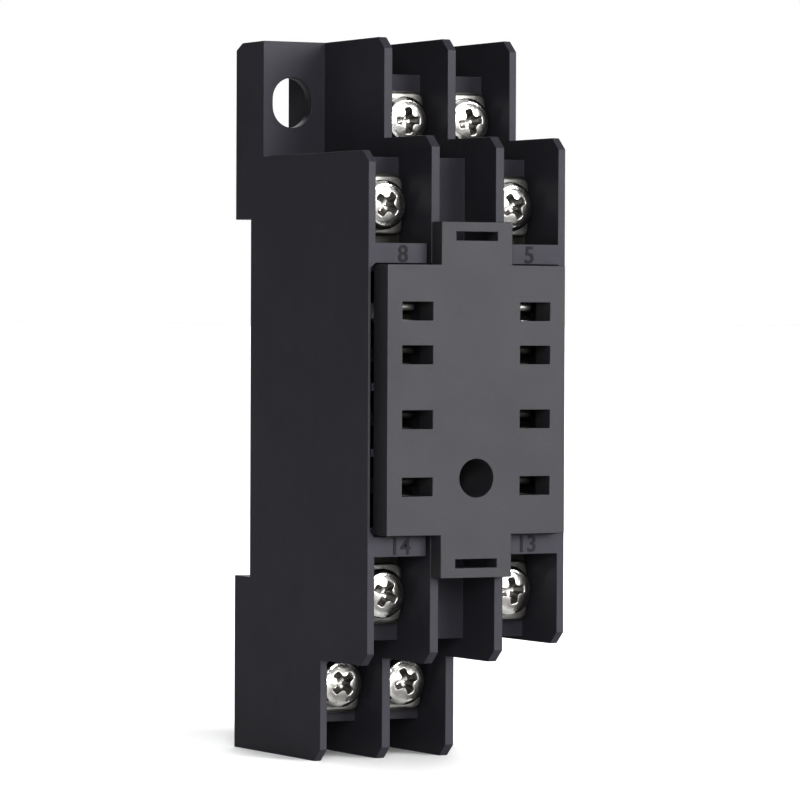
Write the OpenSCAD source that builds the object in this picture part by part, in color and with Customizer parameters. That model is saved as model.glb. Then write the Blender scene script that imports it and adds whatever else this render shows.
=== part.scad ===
// Plug-in relay socket for rail or panel: eight screw terminals in two tiers at each end,
// eight blade contacts under a raised relay seat, two mounting ears and a sprung rail latch.
// X is the width, -Y faces the user, +Z is up. The origin is the middle of the rail seat.

/* [Housing] */
// Overall height of the housing
height = 72; // [71.6:0.1:73]
// Overall width of the housing
width = 22; // [21.8:0.1:22.6]
// Thickness of the two side walls
wall = 0.8; // [0.7:0.05:0.9]
// Thickness of the two barriers between the columns
barrier = 0.95; // [0.8:0.05:1]
// Distance of each barrier's middle plane from the centre
barrier_x = 3.6; // [3.5:0.05:3.65]
// Depth of the housing behind the rail seat, which is the depth of the rail notch
rail_depth = 3.5; // [3.2:0.1:3.8]
// Front of the walls beside the front terminals, from the rail seat
front_wall_d = 25.8; // [25.6:0.1:26]
// Front of the walls beside the rear terminals, from the rail seat
rear_wall_d = 15.8; // [15.4:0.1:16.4]
// Front of the mounting ears, from the rail seat
ear_d = 2.8; // [2.6:0.1:3]
// Length of the chamfer on the free corners of the walls, along the height
chamfer_z = 1.15; // [0.8:0.05:1.3]
// Depth of the same chamfer
chamfer_d = 1.3; // [1:0.1:1.8]

/* [Relay seat] */
// Front of the relay seat, from the rail seat
seat_d = 27.75; // [27.4:0.05:28.2]
// Width of the relay seat
seat_w = 19.8; // [19.6:0.1:19.9]
// Height of the relay seat
seat_h = 26.4; // [26.2:0.05:26.5]
// Width of the tabs above and below the seat
tab_w = 7.9; // [7.6:0.1:8]
// Height over both tabs
tab_h = 34.8; // [34.4:0.1:35]
// Distance of the two contact columns from the centre
contact_x = 6.55; // [6.5:0.05:6.6]
// Width of a contact window
window_w = 3.35; // [3.1:0.05:3.4]
// Height of a contact window
window_h = 1.8; // [1.6:0.05:1.9]

/* [Terminals] */
// Middle of the front screws, from the middle of the height
front_screw_z = 19.1; // [19:0.05:19.2]
// Middle of the upper rear screws, from the middle of the height
upper_rear_z = 27.8; // [27.8:0.05:28]
// Middle of the lower rear screws, from the middle of the height
lower_rear_z = 28.5; // [28.3:0.05:28.6]
// Diameter of a terminal screw's head
head_dia = 4.9; // [4.6:0.1:5]
// Height of a terminal screw's head
head_h = 2.1; // [1.8:0.1:2.2]
// Length of a terminal screw's shank
shank_l = 8; // [7:0.5:8]
// Width of a clamping washer
washer_w = 5.6; // [5.2:0.1:5.7]
// Height of a clamping washer
washer_h = 5.9; // [5.6:0.1:6]

/* [Mounting] */
// Height of the notch that takes the 35 mm rail
notch_h = 36.4; // [36.2:0.1:36.6]
// Distance between the ear slots across the width
ear_slot_x = 15.5; // [15.2:0.1:15.6]
// Distance between the ear slots along the height
ear_slot_z = 59.6; // [59.2:0.1:60]
// Width of an ear slot
ear_slot_w = 4.4; // [4.2:0.1:4.5]
// Length of an ear slot
ear_slot_l = 5.1; // [5:0.1:5.3]
// Width of the rail latch's body
latch_w = 6.4; // [6:0.1:6.6]
// Travel of the latch when it is pulled to free the rail
latch_travel = 2.4; // [2.2:0.1:2.5]

/* [Hidden] */
$fn = 40;
half_w = width / 2;
half_h = height / 2;
inner_w = half_w - wall;
barrier_in = barrier_x - barrier / 2;
barrier_out = barrier_x + barrier / 2;
column_x = (inner_w + barrier_out) / 2;

front_tier_z = 25.9; // end of the walls beside the front terminals
ear_tier_z = 24.3; // end of the side wall next to an ear
front_floor_z = 23.9; // end of the front floors
rear_floor_z = 32.6; // end of the rear floors
pocket_z = 15.3; // inner end of the front terminals' pockets
front_floor_d = 18.9;
blank_floor_d = 19.4;
rear_floor_d = 9.9;
notch_z = -0.2; // middle of the rail notch
groove_w = 0.5; // groove cut in the side walls beside the relay seat
groove_d = 1.6;
pad_gap = 0.45; // slot between a number pad and its barrier
pad_gap_d = 3.6;
seat_gap = 0.1; // clearance round the cover in its recess
cover_back_d = 24.85;
recess_h = seat_h + 2 * seat_gap;
ear_corner = [1.4, 0.7]; // chamfer behind the upper ear, in depth and height
ear_t = 1.5; // thickness of the ears' front, which is hollow behind
ear_hollow_z = 25.2; // inner end of the hollow

strip_t = 0.8;
strip_gap = 0.1; // clearance of a strip in its tunnel
strip_w = 3.4;
plate_w = 5.5;
plate_end = 3.1; // reach of a terminal plate past its screw
tapped_d = 3.0;
shank_d = 2.9;
shank_hole_d = 3.6;
shank_hole_l = 1; // free depth of the blind hole past the shank
washer_t = 0.8;
seat_tab_h = 2.6;
leg_x = 9.1; // middle of the narrow legs that pass the outer contacts
leg_w = 1.2;
channel_in = 4.4;
channel_out = 10;
rib_t = 0.8;
rib_back_d = 12;

jaw_t = 0.35;
jaw_w = 2.7;
jaw_bend = 0.85; // half height of a jaw at its bend
jaw_throat = 0.2; // half gap where the jaws grip a blade
jaw_mouth = 0.8; // half gap at the open end
jaw_front_d = 24.7;

post_z = -7.65; // cover screw, from the middle of the height
post_hole_d = 3.75;
post_d = 6;
post_back_d = 19.7;
cover_head_d = 3.4;
cover_head_h = 1.2;
cover_shank_d = 2.2;
cover_shank_l = 7;
clip_slot = [4.6, 0.85];
clip_slot_z = 16;

hook_w = 9;
hook_drop = 1.6; // how far the hooks reach behind the rail's edge
rail_gap = 1.3; // room for the rail's lip between seat and hooks
latch_back = 3.2;
latch_front = -1.2;
latch_top = -16.6;
latch_bottom = -34.8;
latch_flange = [1, 1.1]; // reach to each side and thickness
latch_flange_y = 0.1;
latch_gap = 0.2;
spring_r = 1.2;
spring_wire = 0.4;
spring_turns = 7;
spring_y = 0.5;
spring_top = -21;
spring_bottom = -28;
stub_h = 1.5;
stub_w = 3;
latch_pocket_w = 3.6;
latch_pocket_back = 2.2;
core_pitch = [6.9, 7.8];
core_size = [5.7, 6.6];
core_depth = 7.6;

// Rows of contacts from the middle of the height, from the top
rows = [8.65, 4.4, -1.9, -8.45];

// Terminals: [pin number, column (-1 left, 0 middle, 1 right), end (1 upper, -1 lower),
// true for the front tier, row of its contact, side of its contact]
pins = [
    [1, 1, 1, false, 0, 1], [4, 0, 1, false, 0, -1],
    [5, 1, 1, true, 1, 1], [8, -1, 1, true, 1, -1],
    [9, 0, -1, false, 2, 1], [12, -1, -1, false, 2, -1],
    [13, 1, -1, true, 3, 1], [14, -1, -1, true, 3, -1]
];

function is_front(p) = p[3];
function screw_x(p) = p[1] * column_x;
function screw_z(p) = p[2] * (is_front(p) ? front_screw_z : p[2] > 0 ? upper_rear_z : lower_rear_z);
function floor_d(p) = is_front(p) ? front_floor_d : rear_floor_d;
function row_z(p) = rows[p[4]];
function jaw_x(p) = p[5] * contact_x;

// A box given by two opposite corners
module span(a, b) {
    translate([min(a[0], b[0]), min(a[1], b[1]), min(a[2], b[2])])
        cube([abs(a[0] - b[0]), abs(a[1] - b[1]), abs(a[2] - b[2])]);
}

// A cylinder along the depth, from depth d0 to depth d1
module rod(x, z, d0, d1, dia) {
    translate([x, -min(d0, d1), z]) rotate([90, 0, 0]) cylinder(h = abs(d1 - d0), d = dia);
}

// A profile drawn in depth (Y) and height (Z), made thick across the width
module across(x0, x1) {
    translate([min(x0, x1), 0, 0]) rotate([90, 0, 90]) linear_extrude(abs(x1 - x0)) children();
}

// The lower end is the upper end turned half round about the depth
module both_ends() {
    children();
    rotate([0, 180, 0]) children();
}

// Side view of the upper half of a wall that stands beside both tiers
module tier_profile() {
    polygon([
        [rail_depth, 0], [rail_depth, half_h],
        [chamfer_d - rear_wall_d, half_h], [-rear_wall_d, half_h - chamfer_z],
        [-rear_wall_d, front_tier_z],
        [chamfer_d - front_wall_d, front_tier_z], [-front_wall_d, front_tier_z - chamfer_z],
        [-front_wall_d, 0]
    ]);
}

// Side view of the upper half of the side wall next to an ear
module ear_profile() {
    polygon([
        [rail_depth, 0], [rail_depth, half_h], [-ear_d, half_h], [-ear_d, ear_tier_z],
        [chamfer_d - front_wall_d, ear_tier_z], [-front_wall_d, ear_tier_z - chamfer_z],
        [-front_wall_d, 0]
    ]);
}

// Walls, floors and ear of the upper end
module upper_end() {
    across(-half_w, -inner_w) ear_profile();
    across(inner_w, half_w) tier_profile();
    for (x = [-barrier_x, barrier_x])
        across(x - barrier / 2, x + barrier / 2) tier_profile();
    span([-half_w, rail_depth, 0], [half_w, -ear_d, half_h]);
    span([-barrier_out, rail_depth, 0], [half_w, -rear_floor_d, rear_floor_z]);
    span([-half_w, rail_depth, 0], [half_w, -front_floor_d, front_floor_z]);
    span([-barrier_x, 0, 0], [barrier_x, -blank_floor_d, front_floor_z]);
    span([-half_w, 0, 0], [half_w, -cover_back_d, pocket_z]);
    for (side = [-1, 1])
        span([side * barrier_x, 0, recess_h / 2], [side * half_w, -front_wall_d, pocket_z]);
}

// The groove along a side wall, with a slanting run-out at each end
module seat_groove() {
    translate([0, groove_d - front_wall_d, 0]) rotate([90, 0, 0])
        linear_extrude(groove_d + 1)
            polygon([
                [inner_w - 1, -recess_h / 2], [inner_w, -recess_h / 2],
                [inner_w + groove_w, groove_w - recess_h / 2],
                [inner_w + groove_w, recess_h / 2 - groove_w],
                [inner_w, recess_h / 2], [inner_w - 1, recess_h / 2]
            ]);
}

// The room that a strip takes in the housing, with its clearance
module strip_room(p) {
    edge = p[2] * recess_h / 2;
    d = floor_d(p);
    top = d + strip_t + strip_gap;
    reach = strip_w / 2 + strip_gap;
    if (is_front(p) && p[4] == 1)
        span([p[5] * (leg_x - leg_w / 2 - strip_gap), -d, edge - p[2]],
             [p[5] * (leg_x + leg_w / 2 + strip_gap), -top, p[2] * pocket_z]);
    else if (is_front(p))
        span([jaw_x(p) - reach, -d, edge - p[2]], [jaw_x(p) + reach, -top, p[2] * pocket_z]);
    else {
        x = p[1] == 0 ? 0 : jaw_x(p);
        span([x - reach, -d, row_z(p) - 1.5 * p[2]], [x + reach, -top, p[2] * (front_floor_z + 1)]);
        if (p[1] == 0)
            span([-p[5] * reach, -d, row_z(p) - reach], [jaw_x(p), -top, row_z(p) + reach]);
    }
}

// Blind holes under the screws, ear slots, contact channels and tunnels
module housing_hollows() {
    for (p = pins) {
        rod(screw_x(p), screw_z(p), floor_d(p) + strip_t + washer_t - shank_l - shank_hole_l,
            floor_d(p) + 1, shank_hole_d);
        strip_room(p);
    }
    both_ends() {
        for (z = [-1, 1])
            translate([0, 0, z * (ear_slot_l - ear_slot_w) / 2])
                rod(-ear_slot_x / 2, ear_slot_z / 2, -rail_depth - 1, ear_d + 1, ear_slot_w);
        span([-(ear_slot_x + ear_slot_w) / 2, rail_depth + 1, (ear_slot_z - ear_slot_l + ear_slot_w) / 2],
             [-(ear_slot_x - ear_slot_w) / 2, -ear_d - 1, (ear_slot_z + ear_slot_l - ear_slot_w) / 2]);
        span([-inner_w, ear_t - ear_d, ear_hollow_z],
             [-barrier_out - barrier, rail_depth + 1, half_h - 2 * wall]);
        for (side = [-1, 1])
            span([side * barrier_out, pad_gap_d - front_wall_d, recess_h / 2],
                 [side * (barrier_out + pad_gap), -front_wall_d - 1, pocket_z + 1]);
    }
    for (side = [-1, 1]) {
        span([side * channel_in, -rear_floor_d, -recess_h / 2 + wall],
             [side * channel_out, -front_wall_d - 1, recess_h / 2 - wall]);
        scale([side, 1, 1]) seat_groove();
    }
    span([-inner_w, -cover_back_d, -recess_h / 2], [inner_w, -front_wall_d - 1, recess_h / 2]);
    rod(0, post_z, post_back_d, front_wall_d, post_d + 2 * strip_gap);
    rod(0, post_z, post_back_d - cover_shank_l, post_back_d + 1, cover_shank_d + strip_gap);
}

// Ribs that part the contacts from each other
module contact_ribs() {
    for (side = [-1, 1], i = [0:2]) {
        z = (rows[i] + rows[i + 1]) / 2;
        outer = i == 0 ? leg_x - leg_w / 2 - strip_gap : channel_out + 0.1;
        span([side * (channel_in - 0.1), -rib_back_d, z - rib_t / 2],
             [side * outer, -cover_back_d, z + rib_t / 2]);
    }
}

// The notch for the rail, its upper hook, and the latch's guide
module rail_side() {
    flange = latch_w / 2 + latch_flange[0] + latch_gap;
    notch_top = notch_z + notch_h / 2;
    notch_low = notch_z - notch_h / 2;
    difference() {
        span([-half_w - 1, 0, notch_low], [half_w + 1, rail_depth + 1, notch_top]);
        across(-hook_w / 2, hook_w / 2)
            polygon([
                [rail_gap, notch_top], [rail_gap, notch_top - hook_drop],
                [rail_depth - 1, notch_top - hook_drop], [rail_depth, notch_top - hook_drop + 1],
                [rail_depth, notch_top]
            ]);
    }
    difference() {
        union() {
            span([-latch_w / 2 - latch_gap, rail_depth + 1, notch_low + latch_gap],
                 [latch_w / 2 + latch_gap, latch_front - latch_gap, -half_h - 1]);
            span([-flange, latch_flange_y - latch_gap, notch_low + latch_gap],
                 [flange, latch_flange_y + latch_flange[1] + latch_gap, -half_h - 1]);
        }
        span([-stub_w / 2, latch_front - 1, spring_bottom], [stub_w / 2, latch_pocket_back - latch_gap,
             spring_bottom - stub_h]);
    }
    for (i = [-1:1], k = [-1.5:1.5])
        span([i * core_pitch[0] - core_size[0] / 2, 1, k * core_pitch[1] - core_size[1] / 2],
             [i * core_pitch[0] + core_size[0] / 2, -core_depth, k * core_pitch[1] + core_size[1] / 2]);
    translate([0, rail_depth, half_h]) rotate([90, 0, 90])
        linear_extrude(width + 2, center = true)
            polygon([[-ear_corner[0], 0], [0, -ear_corner[1]], [1, 1], [-ear_corner[0], 1]]);
}

module housing() {
    color("#26252a")
        union() {
            difference() {
                both_ends() upper_end();
                housing_hollows();
                rail_side();
            }
            contact_ribs();
        }
}

// Plate with the contact windows, two clip tabs and the screw post
module face_cover() {
    color("#5d5c60")
        difference() {
            union() {
                span([-seat_w / 2, -cover_back_d, -seat_h / 2], [seat_w / 2, -seat_d, seat_h / 2]);
                span([-tab_w / 2, -front_wall_d, -tab_h / 2], [tab_w / 2, -seat_d, tab_h / 2]);
                rod(0, post_z, post_back_d, cover_back_d + 1, post_d);
            }
            for (p = pins)
                span([jaw_x(p) - window_w / 2, 0, row_z(p) - window_h / 2],
                     [jaw_x(p) + window_w / 2, -seat_d - 1, row_z(p) + window_h / 2]);
            for (end = [-1, 1])
                span([-clip_slot[0] / 2, 0, end * clip_slot_z - clip_slot[1] / 2],
                     [clip_slot[0] / 2, -seat_d - 1, end * clip_slot_z + clip_slot[1] / 2]);
            rod(0, post_z, post_back_d + strip_t, seat_d + 1, post_hole_d);
            rod(0, post_z, post_back_d - 1, seat_d, cover_shank_d + 2 * strip_gap);
        }
}

// Self-tapping screw at the bottom of the cover's post
module cover_screw() {
    head_back = post_back_d + strip_t;
    color("#9a9a9c")
        difference() {
            union() {
                rod(0, post_z, head_back - cover_shank_l, head_back, cover_shank_d);
                rod(0, post_z, head_back, head_back + cover_head_h, cover_head_d);
            }
            for (turn = [0, 90])
                translate([0, -head_back - cover_head_h, post_z]) rotate([0, turn, 0])
                    cube([2, 1.4, 0.6], center = true);
        }
}

// Nickel-plated strip from a terminal's tapped plate to the seat of its contact
module strip(p) {
    end = p[2];
    d = floor_d(p);
    top = d + strip_t;
    plate_z = [screw_z(p) + end * plate_end, is_front(p) ? end * (pocket_z + 0.1) : screw_z(p) - end * 3];
    seat = front_floor_d + strip_t;
    x = p[1] == 0 ? 0 : jaw_x(p);
    color("#b9b8b2")
        difference() {
            union() {
                span([screw_x(p) - plate_w / 2, -d, plate_z[0]], [screw_x(p) + plate_w / 2, -top, plate_z[1]]);
                span([jaw_x(p) - strip_w / 2, -front_floor_d, row_z(p) - seat_tab_h / 2],
                     [jaw_x(p) + strip_w / 2, -seat, row_z(p) + seat_tab_h / 2]);
                if (is_front(p) && p[4] == 1) {
                    span([p[5] * (leg_x - leg_w / 2), -d, row_z(p) - seat_tab_h / 2],
                         [p[5] * (leg_x + leg_w / 2), -top, plate_z[1] + 1]);
                    span([jaw_x(p), -d, row_z(p) - seat_tab_h / 2],
                         [p[5] * leg_x, -top, row_z(p) + seat_tab_h / 2]);
                } else if (is_front(p)) {
                    span([jaw_x(p) - strip_w / 2, -d, row_z(p)], [jaw_x(p) + strip_w / 2, -top, plate_z[1]]);
                } else {
                    span([x - strip_w / 2, -d, row_z(p) - end * seat_tab_h / 2],
                         [x + strip_w / 2, -top, plate_z[1]]);
                    if (p[1] == 0)
                        span([-p[5] * strip_w / 2, -d, row_z(p) - strip_w / 2],
                             [jaw_x(p), -top, row_z(p) + strip_w / 2]);
                    span([jaw_x(p) - strip_w / 2, -d, row_z(p) - end * seat_tab_h / 2],
                         [jaw_x(p) + strip_w / 2, -seat, row_z(p) - end * (seat_tab_h / 2 - strip_t)]);
                }
            }
            rod(screw_x(p), screw_z(p), d - 1, top + 1, tapped_d);
        }
}

// Contact on the seat of its strip: two leaves that near each other at the throat, then open out
module contact(p) {
    base = front_floor_d + strip_t;
    run = jaw_front_d - base;
    throat = base + 0.75 * run;
    shoulder = base + 0.4 * run;
    color("#c08a4a")
        translate([0, 0, row_z(p)])
            for (side = [-1, 1])
                across(jaw_x(p) - jaw_w / 2, jaw_x(p) + jaw_w / 2)
                    polygon([
                        [-base, 0], [-base, side * (jaw_bend + jaw_t)],
                        [-shoulder, side * (jaw_bend + jaw_t)], [-throat, side * (jaw_throat + jaw_t)],
                        [-jaw_front_d, side * (jaw_mouth + jaw_t)], [-jaw_front_d, side * jaw_mouth],
                        [-throat, side * jaw_throat], [-shoulder, side * jaw_bend],
                        [-base - jaw_t, side * jaw_bend], [-base - jaw_t, 0]
                    ]);
}

// Square clamping washer that stays on its screw
module washer(p) {
    back = floor_d(p) + strip_t;
    color("#c4c3be")
        translate([screw_x(p), -back, screw_z(p)]) rotate([90, 0, 0])
            linear_extrude(washer_t)
                difference() {
                    intersection() {
                        square([washer_w, washer_h], center = true);
                        circle(d = washer_w * 1.3);
                    }
                    circle(d = shank_d + 0.1);
                }
}

// Pan head screw with a cross recess
module screw(p) {
    back = floor_d(p) + strip_t + washer_t;
    color("#dcdbd6")
        translate([screw_x(p), -back, screw_z(p)]) rotate([90, 0, 0])
            difference() {
                union() {
                    translate([0, 0, -shank_l]) cylinder(h = shank_l, d = shank_d);
                    rotate_extrude()
                        intersection() {
                            translate([0, head_h - head_dia]) circle(r = head_dia, $fn = 96);
                            square([head_dia / 2, head_h]);
                        }
                }
                for (turn = [0, 90])
                    translate([0, 0, head_h]) rotate([0, 0, turn + 20])
                        cube([2.9, 0.7, 2.2], center = true);
            }
}

// Slider that hooks behind the lower edge of the rail
module rail_latch() {
    color("#2c2b30")
        difference() {
            union() {
                across(-latch_w / 2, latch_w / 2)
                    polygon([
                        [rail_gap, notch_z - notch_h / 2], [rail_gap, latch_top],
                        [latch_back - 1.3, latch_top], [latch_back, latch_top - 1.3],
                        [latch_back, latch_bottom], [latch_front, latch_bottom],
                        [latch_front, notch_z - notch_h / 2]
                    ]);
                span([-latch_w / 2 - latch_flange[0], latch_flange_y, notch_z - notch_h / 2],
                     [latch_w / 2 + latch_flange[0], latch_flange_y + latch_flange[1], latch_bottom]);
            }
            span([-latch_pocket_w / 2, latch_front - 1, spring_top],
                 [latch_pocket_w / 2, latch_pocket_back, spring_bottom - stub_h]);
            span([-2, -5, latch_bottom + 1.2], [2, 5, latch_bottom + 2.8]);
        }
}

// Round wire swept along a helix, between the latch and the stub in its guide
module latch_spring() {
    steps = 14;
    sides = 6;
    rise = spring_top - spring_bottom - spring_wire;
    rings = [for (i = [0:spring_turns * steps])
        let (a = 360 * i / steps, z = spring_bottom + spring_wire / 2 + rise * i / (spring_turns * steps))
        for (k = [0:sides - 1])
            let (b = 360 * k / sides, r = spring_r + spring_wire / 2 * cos(b))
            [r * cos(a), spring_y + r * sin(a), z + spring_wire / 2 * sin(b)]];
    last = spring_turns * steps;
    color("#8f8f8c")
        polyhedron(points = rings, faces = concat(
            [[for (k = [0:sides - 1]) k]],
            [[for (k = [sides - 1:-1:0]) last * sides + k]],
            [for (i = [0:last - 1], k = [0:sides - 1])
                [i * sides + k, (i + 1) * sides + k,
                 (i + 1) * sides + (k + 1) % sides, i * sides + (k + 1) % sides]]
        ));
}

housing();
face_cover();
cover_screw();
rail_latch();
latch_spring();
for (p = pins) {
    strip(p);
    contact(p);
    washer(p);
    screw(p);
}
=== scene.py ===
import math

import bmesh
import bpy
import numpy as np
from mathutils import Matrix, Vector


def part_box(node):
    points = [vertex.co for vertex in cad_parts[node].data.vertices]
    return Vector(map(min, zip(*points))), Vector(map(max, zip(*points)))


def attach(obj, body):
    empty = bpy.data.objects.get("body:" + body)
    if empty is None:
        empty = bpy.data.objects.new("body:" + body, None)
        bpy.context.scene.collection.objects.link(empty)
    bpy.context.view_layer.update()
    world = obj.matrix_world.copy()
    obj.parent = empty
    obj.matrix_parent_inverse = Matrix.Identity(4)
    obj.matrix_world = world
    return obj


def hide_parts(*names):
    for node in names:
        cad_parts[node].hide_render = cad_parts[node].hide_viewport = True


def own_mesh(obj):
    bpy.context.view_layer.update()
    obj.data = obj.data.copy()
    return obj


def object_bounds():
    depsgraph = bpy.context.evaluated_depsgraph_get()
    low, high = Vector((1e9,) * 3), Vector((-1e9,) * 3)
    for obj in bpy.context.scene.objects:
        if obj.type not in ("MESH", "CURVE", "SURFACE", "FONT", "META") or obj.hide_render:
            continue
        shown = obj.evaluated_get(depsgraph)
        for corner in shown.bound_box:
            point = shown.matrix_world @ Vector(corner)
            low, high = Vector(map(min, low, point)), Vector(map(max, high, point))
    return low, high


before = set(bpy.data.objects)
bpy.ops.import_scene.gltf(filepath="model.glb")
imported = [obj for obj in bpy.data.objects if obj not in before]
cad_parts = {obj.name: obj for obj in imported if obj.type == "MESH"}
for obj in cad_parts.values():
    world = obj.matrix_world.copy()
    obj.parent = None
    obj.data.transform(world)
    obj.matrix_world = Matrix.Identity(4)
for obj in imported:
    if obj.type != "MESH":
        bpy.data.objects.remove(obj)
cad_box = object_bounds()

# Camera: a long lens, level with the middle of the socket, looking at it from the left of its
# front, so that the left wall, the two tiers and the relay seat all show.
MM = 0.001
look_at = Vector((-0.147, -12.026, -0.255)) * MM
camera_distance = 482.2 * MM
camera_azimuth = math.radians(28.0)
camera_elevation = math.radians(0.91)
camera_roll = math.radians(0.22)
camera_data = bpy.data.cameras.new("camera")
camera_data.sensor_width = 36
camera_data.lens = 215.6
camera_data.clip_start = 0.01
camera_data.clip_end = 300
camera = bpy.data.objects.new("camera", camera_data)
bpy.context.scene.collection.objects.link(camera)
away = Vector((
    -math.sin(camera_azimuth) * math.cos(camera_elevation),
    -math.cos(camera_azimuth) * math.cos(camera_elevation),
    math.sin(camera_elevation),
))
camera.location = look_at + away * camera_distance
camera.rotation_mode = "QUATERNION"
camera.rotation_quaternion = (
    (-away).to_track_quat("-Z", "Y") @ Matrix.Rotation(camera_roll, 3, "Z").to_quaternion()
)
bpy.context.scene.camera = camera


# Floor and light: a pale table in a white room. Two broad lights share the front, one hangs
# overhead and two stand behind, and a softbox above the front is what the plated screws mirror.
class Wire:
    """One value in a material. Arithmetic on it adds Math nodes, with numbers on either side."""

    def __init__(self, finish, socket):
        self.finish = finish
        self.socket = socket

    def math(self, operation, first, second):
        return self.finish.node("ShaderNodeMath", {"operation": operation}, {0: first, 1: second})

    def __add__(self, other):
        return self.math("ADD", self, other)

    def __radd__(self, other):
        return self.math("ADD", other, self)

    def __sub__(self, other):
        return self.math("SUBTRACT", self, other)

    def __rsub__(self, other):
        return self.math("SUBTRACT", other, self)

    def __mul__(self, other):
        return self.math("MULTIPLY", self, other)

    def __rmul__(self, other):
        return self.math("MULTIPLY", other, self)

    def band(self, low, high):
        """0 below low, 1 above high, and a smooth rise between them."""
        return self.finish.node(
            "ShaderNodeMapRange", {"interpolation_type": "SMOOTHSTEP"},
            {"Value": self, "From Min": low, "From Max": high})


class Finish:
    """The nodes of a material, or of the room, while they are put together."""

    def __init__(self, owner):
        self.owner = owner
        owner.use_nodes = True
        self.tree = owner.node_tree
        self.tree.nodes.clear()

    def node(self, kind, settings=None, values=None, output=0):
        """Adds a node: its settings first, then the values or links of its sockets."""
        made = self.tree.nodes.new(kind)
        for key, setting in (settings or {}).items():
            setattr(made, key, setting)
        for key, value in (values or {}).items():
            if isinstance(value, Wire):
                self.tree.links.new(value.socket, made.inputs[key])
            elif isinstance(value, tuple) and made.inputs[key].type == "RGBA":
                made.inputs[key].default_value = (*value, 1)
            else:
                made.inputs[key].default_value = value
        return Wire(self, made.outputs[output]) if made.outputs else None

    def place(self):
        return self.node("ShaderNodeTexCoord", output="Object")

    def cloud(self, scale, detail=3, where=None):
        """Soft noise from 0 to 1 with a feature size of about 1 / scale metres."""
        return self.node("ShaderNodeTexNoise", {"noise_dimensions": "3D"}, {
            "Vector": where or self.place(), "Scale": scale, "Detail": detail, "Roughness": 0.55})

    def between(self, share, first, second):
        """A colour that goes from the first to the second with share."""
        return self.node(
            "ShaderNodeMix", {"data_type": "RGBA"}, {"Factor": share, 6: first, 7: second},
            output=2)

    def relief(self, height, depth, strength, under=None):
        """Bump of the given depth in metres, on top of the bump under it."""
        values = {"Height": height, "Distance": depth, "Strength": strength}
        if under:
            values["Normal"] = under
        return self.node("ShaderNodeBump", None, values)

    def surface(self, values):
        """Closes the material with its shader."""
        shader = self.node("ShaderNodeBsdfPrincipled", None, values)
        self.node("ShaderNodeOutputMaterial", None, {"Surface": shader})
        return self.owner


def into_mesh(name, points, around_closed=True, caps=False):
    """Grid of points [row, around, xyz] to a mesh: each cell is one four-sided face. The first
    and last rows are closed by a fan onto their own centre where caps is true. The UV map holds
    the share of the way round and the share of the way along."""
    rows, around, _ = points.shape
    row, column = np.meshgrid(
        np.arange(rows - 1), np.arange(around if around_closed else around - 1), indexing="ij")
    corner_row = row.ravel()[:, None] + np.array([0, 0, 1, 1])
    corner_column = column.ravel()[:, None] + np.array([0, 1, 1, 0])
    corners = [(corner_row * around + corner_column % around).ravel()]
    sizes = [np.full(row.size, 4)]
    maps = [np.stack([corner_column / around, corner_row / (rows - 1)], axis=-1).reshape(-1, 2)]
    vertices = points.reshape(-1, 3)
    if caps:
        ring = np.arange(around)
        for order, base, centre, height in (
                ([1, 0], 0, 0, 0.0), ([0, 1], (rows - 1) * around, 1, 1.0)):
            steps = ring[:, None] + np.array(order)
            middle = np.full((around, 1), rows * around + centre)
            corners.append(np.concatenate([base + steps % around, middle], axis=1).ravel())
            sizes.append(np.full(around, 3))
            turn = np.concatenate([steps, ring[:, None] + 0.5], axis=1) / around
            maps.append(np.stack([turn, np.full_like(turn, height)], axis=-1).reshape(-1, 2))
        vertices = np.concatenate([vertices, [points[0].mean(0), points[-1].mean(0)]])
    mesh = bpy.data.meshes.new(name)
    corners, sizes = np.concatenate(corners), np.concatenate(sizes)
    mesh.vertices.add(len(vertices))
    mesh.vertices.foreach_set("co", vertices.astype(np.float32).ravel())
    mesh.loops.add(len(corners))
    mesh.loops.foreach_set("vertex_index", corners.astype(np.int32))
    mesh.polygons.add(len(sizes))
    mesh.polygons.foreach_set("loop_start", (np.cumsum(sizes) - sizes).astype(np.int32))
    mesh.polygons.foreach_set("loop_total", sizes.astype(np.int32))
    mesh.update(calc_edges=True)
    mesh.uv_layers.new(name="grid").uv.foreach_set(
        "vector", np.concatenate(maps).astype(np.float32).ravel())
    mesh.validate()
    return mesh


def shown(name, mesh, material):
    """An object in the scene with one material."""
    piece = bpy.data.objects.new(name, mesh)
    mesh.materials.clear()
    mesh.materials.append(material)
    bpy.context.scene.collection.objects.link(piece)
    return piece


table_finish = Finish(bpy.data.materials.new("pale_table"))
table_mottle = table_finish.cloud(9.0)
table_material = table_finish.surface({
    "Base Color": table_finish.between(table_mottle, (0.84, 0.84, 0.84), (0.88, 0.88, 0.88)),
    "Roughness": 0.7, "Specular IOR Level": 0.2})
table_reach = 80.0
table_side = np.linspace(-table_reach, table_reach, 3)
table_x, table_y = np.meshgrid(table_side, table_side)
table_points = np.stack([table_x, table_y, np.full_like(table_x, cad_box[0].z)], axis=-1)
table = shown("table", into_mesh("table", table_points, around_closed=False), table_material)

# the room is white to the eye and lights the socket only a little, so its blacks stay deep
room = Finish(bpy.data.worlds.new("room"))
room_light = room.node(
    "ShaderNodeBackground", None, {"Color": (0.92, 0.93, 1.0), "Strength": 0.03})
room_wall = room.node("ShaderNodeBackground", None, {"Color": (1, 1, 1), "Strength": 1.0})
room_seen = room.node("ShaderNodeLightPath", output="Is Camera Ray")
room_mix = room.node("ShaderNodeMixShader", None, {0: room_seen, 1: room_light, 2: room_wall})
room.node("ShaderNodeOutputWorld", None, {"Surface": room_mix})
bpy.context.scene.world = room.owner
# a steeper tone than the plain one, so that black mouldings and a white table both keep theirs
tone = bpy.context.scene.view_settings
tone.view_transform = "Standard"
tone.exposure = 0.0
tone.gamma = 0.72


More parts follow.
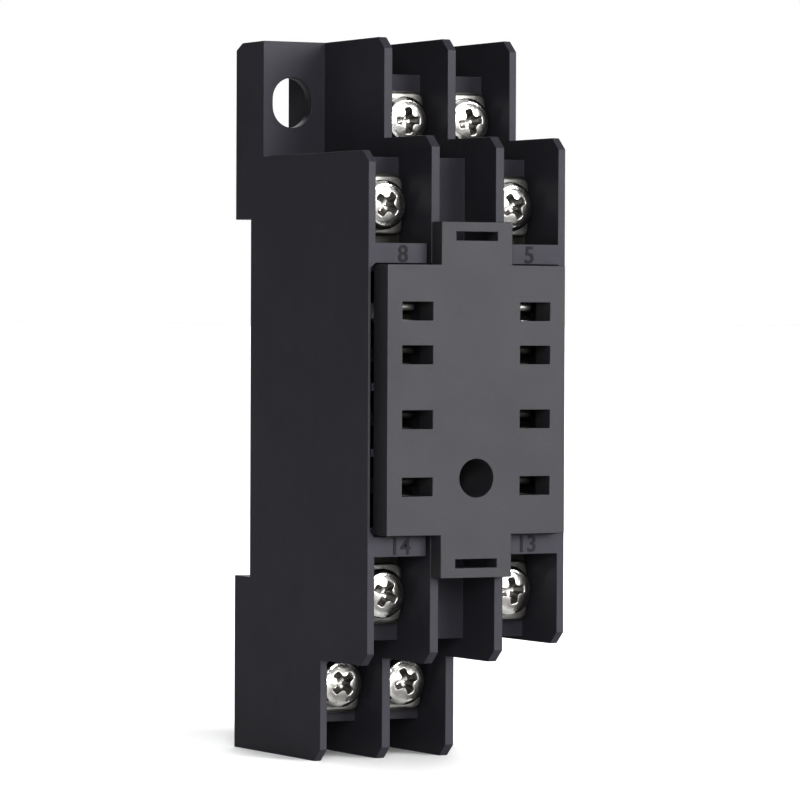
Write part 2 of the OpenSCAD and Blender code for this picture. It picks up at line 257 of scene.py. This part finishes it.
def aimed_light(name, kind, azimuth, elevation, strength, distance=1.0, **settings):
    """A light that looks at the socket from an azimuth right of its front and an elevation,
    both in degrees. A sun lights evenly at any distance."""
    data = bpy.data.lights.new(name, kind)
    data.energy = strength
    for key, value in settings.items():
        setattr(data, key, value)
    side, up = math.radians(azimuth), math.radians(elevation)
    towards = Vector((
        math.sin(side) * math.cos(up), -math.cos(side) * math.cos(up), math.sin(up)))
    light = bpy.data.objects.new(name, data)
    light.location = look_at + towards * distance
    light.rotation_mode = "QUATERNION"
    light.rotation_quaternion = (-towards).to_track_quat("-Z", "Y")
    bpy.context.scene.collection.objects.link(light)


# each sun: its azimuth, elevation and strength, and how wide it looks
for name, azimuth, elevation, strength, width in (
        ("key", 27, 14, 5.9, 34), ("fill", -24, 10, 5.3, 30), ("overhead", 0, 88, 1.25, 80),
        ("back", 176, 36, 1.0, 30), ("back_right", 150, 18, 1.2, 40)):
    aimed_light(name, "SUN", azimuth, elevation, strength, angle=math.radians(width))
aimed_light(
    "screw_box", "AREA", -3, 37, 0.6, distance=0.5, shape="RECTANGLE", size=0.30, size_y=0.26)


# Housing: one black glass-filled polyester moulding with two tiers, four walls and two ears. It
# keeps the solid's shape, with the small edge radius and the fine spark-eroded skin of its mould.
def moulded_skin(name, dark, light, gloss, grain_depth):
    """Black plastic: slow flow marks in colour and gloss, a few paler specks of glass, and a
    fine even grain. The scales run from 10 mm for the flow to 0.1 mm for the grain."""
    finish = Finish(bpy.data.materials.new(name))
    where = finish.place()
    flow = finish.cloud(95.0, 4, where)
    cloudy = finish.cloud(420.0, 2, where)
    grain = finish.cloud(9500.0, 2, where)
    speck = finish.cloud(2600.0, 1, where).band(0.66, 0.74)
    tint = finish.between(flow.band(0.3, 0.7), dark, light)
    tint = finish.between(speck * 0.25, tint, tuple(c * 1.5 for c in light))
    rough = gloss + 0.10 * (cloudy - 0.5) + 0.06 * (flow - 0.5) + 0.05 * speck
    skin = finish.relief(grain + 0.35 * cloudy, grain_depth, 0.5)
    return finish.surface({
        "Base Color": tint, "Roughness": rough, "Normal": skin, "Specular IOR Level": 0.17})


def smooth(mesh, crease=None):
    """Shades the mesh as curved, apart from edges that bend by more than crease degrees."""
    mesh.polygons.foreach_set("use_smooth", np.ones(len(mesh.polygons), bool))
    if crease:
        mesh.set_sharp_from_angle(angle=math.radians(crease))


def moulded_piece(name, node, material, radius, body):
    """The solid's own faces joined up, with a small rounded edge all round."""
    same_point = 1e-6
    same_plane = math.radians(0.5)
    sharp_edge = math.radians(35)
    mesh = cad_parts[node].data.copy()
    work = bmesh.new()
    work.from_mesh(mesh)
    bmesh.ops.remove_doubles(work, verts=work.verts, dist=same_point)
    bmesh.ops.dissolve_limit(
        work, angle_limit=same_plane, verts=work.verts, edges=work.edges)
    work.to_mesh(mesh)
    work.free()
    smooth(mesh)
    piece = shown(name, mesh, material)
    edge = piece.modifiers.new("edge", "BEVEL")
    edge.width = radius
    edge.segments = 2
    edge.limit_method = "ANGLE"
    edge.angle_limit = sharp_edge
    edge.use_clamp_overlap = False
    edge.miter_outer = "MITER_SHARP"
    even = piece.modifiers.new("even", "WEIGHTED_NORMAL")
    even.weight = 100
    even.keep_sharp = True
    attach(piece, body)
    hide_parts(node)


housing_skin = moulded_skin(
    "housing_skin", (0.0245, 0.0237, 0.0297), (0.0282, 0.0274, 0.0335),
    gloss=0.50, grain_depth=0.012 * MM)
moulded_piece(
    "housing_moulding", "housing", housing_skin, radius=0.07 * MM,
    body="socket")


# Face cover: a separate moulding with the eight contact windows and a clip slot in each tab. It
# drops into the housing and is held by one screw at the bottom of the well.
cover_skin = moulded_skin(
    "cover_skin", (0.0290, 0.0283, 0.0316), (0.0326, 0.0319, 0.0352),
    gloss=0.48, grain_depth=0.012 * MM)
moulded_piece(
    "cover_moulding", "face_cover", cover_skin, radius=0.08 * MM,
    body="socket")


# Terminal numbers: plain figures cut into the mould beside each front terminal, so that they stand
# a hair proud of the pads. They are coloured a darker black than the pads as painted shade, for
# the shade in sunk figures. The figures only count the pins.
mark_finish = Finish(bpy.data.materials.new("mark_shade_skin"))
mark_cloud = mark_finish.cloud(800.0)
# painted shade: the figures are a darker black than the pads
mark_shade_tint = mark_finish.between(mark_cloud, (0.0145, 0.0145, 0.017), (0.0185, 0.0185, 0.021))
shaded_mark_material = mark_finish.surface({
    "Base Color": mark_shade_tint, "Roughness": 0.6 + 0.1 * mark_cloud, "Specular IOR Level": 0.12})


def joined(mesh):
    """Points that lie on each other become one, so that the surface has no open seam."""
    work = bmesh.new()
    work.from_mesh(mesh)
    bmesh.ops.remove_doubles(work, verts=work.verts, dist=0.012 * MM)
    work.to_mesh(mesh)
    work.free()


mark_height = 1.7 * MM
mark_proud = 0.05 * MM
mark_swell = 0.035 * MM
capital_share = 0.7
pad_face = -25.8 * MM
pad_middle = 14.25 * MM
left_pad = -7.2 * MM
right_pad = 6.9 * MM
for words, mark_x, end in (
        ("8", left_pad, 1), ("5", right_pad, 1), ("14", left_pad, -1), ("13", right_pad, -1)):
    letters = bpy.data.curves.new("mark_" + words, "FONT")
    letters.body = words
    letters.align_x = "CENTER"
    letters.align_y = "CENTER"
    letters.size = mark_height / capital_share
    letters.extrude = mark_proud
    letters.offset = mark_swell
    sketch = bpy.data.objects.new("sketch_" + words, letters)
    bpy.context.scene.collection.objects.link(sketch)
    bpy.context.view_layer.update()
    drawn = bpy.data.meshes.new_from_object(
        sketch.evaluated_get(bpy.context.evaluated_depsgraph_get()))
    bpy.data.objects.remove(sketch)
    corners = np.empty(len(drawn.vertices) * 3, np.float32)
    drawn.vertices.foreach_get("co", corners)
    corners = corners.reshape(-1, 3)
    middle = (corners.min(0) + corners.max(0)) / 2
    shrink = mark_height / (corners[:, 1].max() - corners[:, 1].min())
    drawn.transform(
        Matrix.Translation((mark_x, pad_face, end * pad_middle))
        @ Matrix.Rotation(math.radians(90), 4, "X")
        @ Matrix.Diagonal((shrink, shrink, 1, 1))
        @ Matrix.Translation(-Vector(middle)))
    joined(drawn)
    mark = shown("mark_" + words, drawn, shaded_mark_material)
    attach(mark, "socket")


# Terminal strips: stamped and bent brass, nickel plated, pressed into tunnels in the housing. The
# rolling of the strip shows as faint lines, and the plating is dull where it has stood in air. The
# plating is coloured near black as painted shade, for the shade the strips lie in.
def plated(name, dark, light, gloss, wear_colour, wear, painted_recess_shade=None, dimple=0.0):
    """Plated metal: cloudy brightness, fine rolling lines, and a few dull spots of bare metal.
    wear is how strongly the spots show. The recess argument is painted shade: the darker colour
    and the gloss deep in a recess, and the share of the way along the surface at which the recess
    ends. dimple is the depth of the shallow dents that tumbling in a barrel leaves."""
    finish = Finish(bpy.data.materials.new(name))
    where = finish.place()
    stretched = finish.node(
        "ShaderNodeMapping", None, {"Vector": where, "Scale": (1.0, 1.0, 0.08)})
    lines = finish.cloud(5200.0, 2, stretched)
    cloudy = finish.cloud(520.0, 3, where)
    dull = finish.cloud(1300.0, 3, where).band(0.62, 0.72) * wear
    tint = finish.between(cloudy.band(0.3, 0.7), dark, light)
    tint = finish.between(dull, tint, wear_colour)
    rough = gloss + 0.10 * (cloudy - 0.5) + 0.07 * (lines - 0.5) + 0.18 * dull
    # painted shade: the surface is coloured darker deep in the recess
    if painted_recess_shade:
        recess_shade_colour, deep_gloss, end = painted_recess_shade
        grid = finish.node("ShaderNodeUVMap", {"uv_map": "grid"})
        along = finish.node("ShaderNodeSeparateXYZ", None, {"Vector": grid}, output="Y")
        recess_shade_share = 1 - along.band(end * 0.75, end)
        tint = finish.between(recess_shade_share, tint, recess_shade_colour)
        rough = rough + recess_shade_share * (deep_gloss - gloss)
    skin = finish.relief(lines + 0.6 * cloudy, 0.006 * MM, 0.35)
    if dimple:
        skin = finish.relief(finish.cloud(2100.0, 1, where), dimple, 1.0, under=skin)
    return finish.surface({
        "Base Color": tint, "Metallic": 1.0, "Roughness": rough, "Normal": skin})


# painted shade: the nickel of the strips is coloured near black
shaded_strip_metal = plated(
    "shaded_strip_metal", (0.035, 0.034, 0.031), (0.065, 0.063, 0.059), gloss=0.5,
    wear_colour=(0.06, 0.05, 0.035), wear=0.5)
pins = sorted(int(name[6:]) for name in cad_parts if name.startswith("strip_"))
for pin in pins:
    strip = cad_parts[f"strip_{pin}"]
    strip.data.materials.clear()
    strip.data.materials.append(shaded_strip_metal)


# Contacts: a strip of tinned phosphor bronze bent to a U, whose leaves grip the blade at a throat.
# Behind each window one leaf is rolled over to a smooth nose, and the other opens outwards.
# painted shade and painted glints: one tinned bronze in three copies, near black for the shaded
# windows and brighter for the two glinting ones
shaded_leaf_metal = plated(
    "shaded_leaf_metal", (0.035, 0.034, 0.031), (0.07, 0.068, 0.062), gloss=0.5,
    wear_colour=(0.06, 0.045, 0.03), wear=0.5)
half_glint_leaf = plated(
    "half_glint_leaf", (0.20, 0.196, 0.186), (0.30, 0.295, 0.282), gloss=0.42,
    wear_colour=(0.22, 0.18, 0.13), wear=0.4)
glint_leaf = plated(
    "glint_leaf", (0.62, 0.61, 0.58), (0.80, 0.79, 0.76), gloss=0.30,
    wear_colour=(0.50, 0.42, 0.30), wear=0.3)


def leaf_points(low, high, thick, rows, around):
    """Points of a bent strip. Its middle line is a run of straight pieces, resampled at even steps
    and smoothed by a moving average, which rounds the bends. Its section is a superellipse of the
    fourth power, carried along the line at right angles to it."""
    half = (high - low) / 2
    middle = (low + high) / 2
    bend = half[2] - thick / 2
    # forward from the back, and up from the middle
    knots = np.array([
        [4.85 * MM, -0.995 * bend], [3.75 * MM, -0.375 * MM], [2.0 * MM, -bend],
        [thick / 2, -bend], [thick / 2, bend], [2.0 * MM, bend], [3.75 * MM, 0.375 * MM],
        [4.3 * MM, 0.80 * MM], [4.58 * MM, 0.93 * MM], [4.75 * MM, 0.84 * MM],
        [4.81 * MM, 0.50 * MM], [4.82 * MM, 0.22 * MM], [4.70 * MM, 0.12 * MM]])
    run = np.concatenate([[0], np.cumsum(np.linalg.norm(np.diff(knots, axis=0), axis=1))])
    even = np.linspace(0, run[-1], rows)
    line = np.stack([np.interp(even, run, knots[:, i]) for i in (0, 1)], axis=-1)
    reach = 3
    padded = np.pad(line, ((reach, reach), (0, 0)), mode="reflect", reflect_type="odd")
    line = np.mean([padded[i:i + rows] for i in range(2 * reach + 1)], axis=0)
    along = np.gradient(line, axis=0)
    along /= np.linalg.norm(along, axis=1, keepdims=True)
    turn = np.linspace(0, 2 * np.pi, around, endpoint=False)
    size = (np.abs(np.cos(turn)) ** 4 + np.abs(np.sin(turn)) ** 4) ** (-1 / 4)
    across, over = half[0] * size * np.cos(turn), thick / 2 * size * np.sin(turn)
    forward = line[:, :1] - along[:, 1:] * over
    up = line[:, 1:] + along[:, :1] * over
    return np.stack([
        middle[0] + np.broadcast_to(across, forward.shape), high[1] - forward,
        middle[2] + up], axis=-1)


leaf_thickness = 0.35 * MM
# painted light: the two contacts in the top row get brighter copies of the same metal as painted
# glints, full on the right and half on the left, and the others keep the near-black copy as
# painted shade
painted_leaf_glints = {1: glint_leaf, 4: half_glint_leaf}
for pin in pins:
    low, high = (np.array(corner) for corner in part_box(f"contact_{pin}"))
    leaf_mesh = into_mesh(
        f"contact_leaf_{pin}", leaf_points(low, high, leaf_thickness, rows=120, around=32),
        caps=True)
    smooth(leaf_mesh)
    leaf = shown(f"contact_leaf_{pin}", leaf_mesh, painted_leaf_glints.get(pin, shaded_leaf_metal))
    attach(leaf, "socket")
    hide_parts(f"contact_{pin}")


# Clamping washers: a square of nickel-plated steel, 0.8 mm thick, that stays on its screw. The
# stamping rolls its upper edge, and teeth across the underside bite the wire. The nickel is
# coloured dark as painted shade, for the shade the washers sit in under the heads.
# painted shade: the washers' nickel is coloured dark
shaded_washer_metal = plated(
    "shaded_washer_metal", (0.12, 0.118, 0.112), (0.20, 0.197, 0.188), gloss=0.44,
    wear_colour=(0.09, 0.087, 0.078), wear=0.5)


def washer_points(low, high, hole, roll, tooth, around):
    """Points of a square plate round a hole, from the hole's foot up, over and back below.
    The outline is a superellipse of the eighth power, scaled in towards the hole; the roll is a
    quarter of an ellipse at the upper edge; the teeth are a triangle wave across the width."""
    centre = (low + high) / 2
    half = (high - low) / 2
    thick = half[1] * 2
    tooth_pitch = 0.8 * MM
    turn = np.linspace(0, 2 * np.pi, around, endpoint=False)
    outline = (
        (np.abs(np.cos(turn)) / half[0]) ** 8 + (np.abs(np.sin(turn)) / half[2]) ** 8) ** (-1 / 8)
    # share of the way from the hole to the outline, height, and inward step from the outline
    rows = [(0.0, tooth, 0.0), (0.0, thick * 0.9, 0.0)]
    rows += [(share, thick, 0.0) for share in (0.04, 0.35, 0.7)]
    rows += [
        (1.0, thick - roll + roll * np.cos(bend), roll * (1 - np.sin(bend)))
        for bend in np.linspace(0, np.pi / 2, 5)]
    rows += [(1.0, tooth + 0.1 * MM, 0.0), (1.0, tooth, 0.05 * MM)]
    rows += [(share, tooth, 0.0) for share in (0.75, 0.5, 0.25, 0.0)]
    share, height, inset = (np.array(column)[:, None] for column in zip(*rows))
    reach = hole + (outline[None, :] - inset - hole) * share
    x, z = reach * np.cos(turn), reach * np.sin(turn)
    toothed = (height <= tooth + 1e-9) & (share > 0.1) & (share < 0.99)
    wave = np.abs(((x / tooth_pitch) % 1) * 2 - 1) * tooth
    lift = np.where(toothed, wave, height)
    return np.stack([centre[0] + x, high[1] - lift, centre[2] + z], axis=-1)


for pin in pins:
    low, high = (np.array(corner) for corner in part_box(f"washer_{pin}"))
    points = washer_points(low, high, hole=1.55 * MM, roll=0.28 * MM, tooth=0.1 * MM, around=96)
    mesh = into_mesh(f"washer_plate_{pin}", points[:, ::-1])
    joined(mesh)
    smooth(mesh, crease=38)
    washer = shown(f"washer_plate_{pin}", mesh, shaded_washer_metal)
    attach(washer, f"clamp_{pin}")
    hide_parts(f"washer_{pin}")


# Terminal screws: M3 pan heads, cold headed and bright nickel plated, with a tapered cross recess
# and a rolled thread. Each was left at its own angle when it was last turned.
# painted shade: the cross recess of each head is coloured darker
screw_metal = plated(
    "screw_metal", (0.42, 0.415, 0.40), (0.60, 0.595, 0.575), gloss=0.19,
    wear_colour=(0.26, 0.25, 0.23), wear=0.4,
    painted_recess_shade=((0.26, 0.255, 0.245), 0.36, 0.10), dimple=0.030 * MM)


def cross_outline(half_width, reach, steps):
    """Outline of a cross: half a tip, a side in to the inner corner, a side out and half a tip,
    four times round, as x and y. The tips are rounded and the inner corners are cut wide, as the
    cone of a driver leaves them. The points are equally many in each quarter."""
    corner = 0.35 * half_width
    fillet = 0.65 * half_width
    knots = np.array([
        [reach, 0], [reach, half_width - corner], [reach - corner, half_width],
        [half_width + fillet, half_width], [half_width, half_width + fillet],
        [half_width, reach - corner], [half_width - corner, reach], [0, reach]])
    places = np.array([0, 0.1, 0.2, 0.42, 0.58, 0.8, 0.9, 1.0])
    share = np.linspace(0, 1, steps, endpoint=False)
    quarter = np.stack([np.interp(share, places, knots[:, i]) for i in (0, 1)], axis=-1)
    turned = [quarter]
    for _ in range(3):
        last = turned[-1]
        turned.append(np.stack([-last[:, 1], last[:, 0]], axis=-1))
    return np.concatenate(turned)


def screw_points(head_radius, head_height, shank_radius, shank_length, pitch, cross, steps):
    """Points of a pan head screw along +z, from its tip to the floor of its recess, with the
    head's underside at 0. The dome is part of a sphere of twice the head's radius. The thread is
    a rounded triangle wave of height against angle, which advances one pitch a turn."""
    around = 4 * steps
    turn = np.linspace(0, 2 * np.pi, around, endpoint=False)
    circle = np.stack([np.cos(turn), np.sin(turn)], axis=-1)
    sphere = 2 * head_radius
    half_width, reach, depth = cross
    rows = []

    def dome(r):
        return head_height - sphere + np.sqrt(sphere ** 2 - r ** 2)

    def add(xy, z):
        rows.append(np.concatenate([xy, np.broadcast_to(z, (around,))[:, None]], axis=-1))

    # recess: its pointed floor, its tapering walls and its lip
    mouth = cross_outline(half_width, reach, steps)
    foot = cross_outline(half_width * 0.55, reach * 0.5, steps)
    floor = head_height - depth
    add(foot * 0.02, floor - 0.12 * MM)
    add(foot * 0.5, floor - 0.07 * MM)
    add(foot, floor)
    wall_top = dome(np.linalg.norm(mouth, axis=-1))
    for s in (0.33, 0.66, 0.95):
        add(foot + (mouth - foot) * s, floor + (wall_top - floor) * s)
    lip = mouth * (1 + 0.03 * MM / np.linalg.norm(mouth, axis=-1))[:, None]
    add(lip, dome(np.linalg.norm(lip, axis=-1)) - 0.012 * MM)
    # head: the dome, the rounded rim and the flat underside
    rim_width, rim_drop = 0.5 * MM, 0.7 * MM
    rim = head_radius - rim_width
    for s in (0.08, 0.3, 0.55, 0.8, 1.0):
        xy = lip + (circle * rim - lip) * s
        add(xy, dome(np.linalg.norm(xy, axis=-1)))
    rim_height = dome(rim)
    for b in np.linspace(0, np.pi / 2, 9)[1:]:
        add(circle * (rim + rim_width * np.sin(b)), rim_height - rim_drop * (1 - np.cos(b)))
    add(circle * head_radius, 0.16 * MM)
    add(circle * (head_radius - 0.05 * MM), 0.05 * MM)
    add(circle * (head_radius - 0.14 * MM), 0.0)
    add(circle * (shank_radius + 0.1 * MM), 0.0)
    add(circle * shank_radius * 0.97, -0.08 * MM)
    # thread: it fades out towards the head and the tip, where the shank is as thin as its root
    root = shank_radius - 0.3 * MM
    heights = np.arange(-0.5 * MM, -shank_length + 0.45 * MM, -pitch / 6)
    phase = (heights[:, None] / pitch - turn / (2 * np.pi)) % 1
    ridge = np.clip(1.35 * (1 - np.abs(2 * phase - 1)) - 0.15, 0, 1)
    fade = np.clip(np.minimum(
        (-0.4 * MM - heights) / pitch, (heights + shank_length) / (1.2 * MM)), 0, 1)
    radius = root + (shank_radius - root) * ridge * fade[:, None]
    for z, r in zip(heights, radius):
        add(circle * r[:, None], z)
    add(circle * root * 0.8, -shank_length + 0.12 * MM)
    add(circle * root * 0.45, -shank_length)
    return np.stack(rows)[:, ::-1]


def set_screw(points, foot, angle):
    """Turns the points about their axis, points them at -Y and puts the head's underside at
    foot."""
    c, s = math.cos(angle), math.sin(angle)
    x = points[..., 0] * c - points[..., 1] * s
    z = points[..., 0] * s + points[..., 1] * c
    return np.stack([foot[0] + x, foot[1] - points[..., 2], foot[2] + z], axis=-1)


def screw_piece(name, points, node, metal, body):
    """The points as a closed piece that takes the place of the plain screw."""
    mesh = into_mesh(name, points, caps=True)
    smooth(mesh, crease=42)
    screw = shown(name, mesh, metal)
    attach(screw, body)
    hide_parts(node)


head_height = 2.1 * MM
terminal_screw = screw_points(
    head_radius=2.45 * MM, head_height=head_height, shank_radius=1.45 * MM,
    shank_length=8.0 * MM, pitch=0.5 * MM, cross=(0.38 * MM, 1.32 * MM, 1.25 * MM), steps=20)
rest_angles = {1: 14, 4: 2, 5: 31, 8: 52, 9: 23, 12: 40, 13: 8, 14: 60}
for pin in pins:
    low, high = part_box(f"screw_{pin}")
    foot = ((low.x + high.x) / 2, low.y + head_height, (low.z + high.z) / 2)
    screw_piece(
        f"terminal_screw_{pin}", set_screw(terminal_screw, foot, math.radians(rest_angles[pin])),
        f"screw_{pin}", screw_metal, f"screw_{pin}")


# Cover screw: a small self-tapping screw, zinc plated. It stands at the bottom of the well in the
# cover and holds the cover down on the housing.
zinc = plated(
    "zinc", (0.36, 0.37, 0.38), (0.52, 0.53, 0.54), gloss=0.34,
    wear_colour=(0.30, 0.29, 0.26), wear=0.4)
cover_head_height = 1.2 * MM
cover_screw_angle = 0.35
cover_screw = screw_points(
    head_radius=1.7 * MM, head_height=cover_head_height, shank_radius=1.1 * MM,
    shank_length=7.0 * MM, pitch=0.7 * MM, cross=(0.26 * MM, 1.0 * MM, 0.75 * MM), steps=12)
low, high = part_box("cover_screw")
foot = ((low.x + high.x) / 2, low.y + cover_head_height, (low.z + high.z) / 2)
screw_piece(
    "cover_screw_turned", set_screw(cover_screw, foot, cover_screw_angle), "cover_screw", zinc,
    "socket")


# Rail latch and its spring: a nylon slider that snaps behind the rail, pushed up by a coil of
# bright wire. The coil is drawn once, at one length, and stays with the socket.
latch_skin = moulded_skin(
    "latch_skin", (0.026, 0.026, 0.028), (0.031, 0.031, 0.033), gloss=0.44,
    grain_depth=0.008 * MM)
moulded_piece(
    "latch_moulding", "rail_latch", latch_skin, radius=0.08 * MM,
    body="latch")

spring_metal = plated(
    "spring_metal", (0.45, 0.45, 0.45), (0.60, 0.60, 0.60), gloss=0.22,
    wear_colour=(0.30, 0.27, 0.22), wear=0.3)
low, high = (np.array(corner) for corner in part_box("latch_spring"))
wire_radius = 0.2 * MM
coil_radius = (high[0] - low[0]) / 2 - wire_radius
coil_climb = high[2] - low[2] - 2 * wire_radius
coil_turns = 7
end_turn = 0.6  # how much of a turn lies flatter at each end
end_climb = 0.06  # the share of the climb that it takes
turned = coil_turns * np.linspace(0, 1, coil_turns * 40 + 1)[:, None]
swing = 2 * np.pi * turned
round_wire = np.linspace(0, 2 * np.pi, 10, endpoint=False)[None, :]
first = np.clip(turned / end_turn, 0, 1)
main = np.clip((turned - end_turn) / (coil_turns - 2 * end_turn), 0, 1)
final = np.clip((turned - coil_turns + end_turn) / end_turn, 0, 1)
climbed = end_climb * first + (1 - 2 * end_climb) * main + end_climb * final
out = coil_radius + wire_radius * np.cos(round_wire)
coil = np.stack([
    (low[0] + high[0]) / 2 + out * np.cos(swing),
    (low[1] + high[1]) / 2 + out * np.sin(swing),
    low[2] + wire_radius + coil_climb * climbed + wire_radius * np.sin(round_wire)], axis=-1)
coil_mesh = into_mesh("spring_coil", coil[:, ::-1], caps=True)
smooth(coil_mesh)
spring = shown("spring_coil", coil_mesh, spring_metal)
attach(spring, "socket")
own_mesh(spring)
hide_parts("latch_spring")
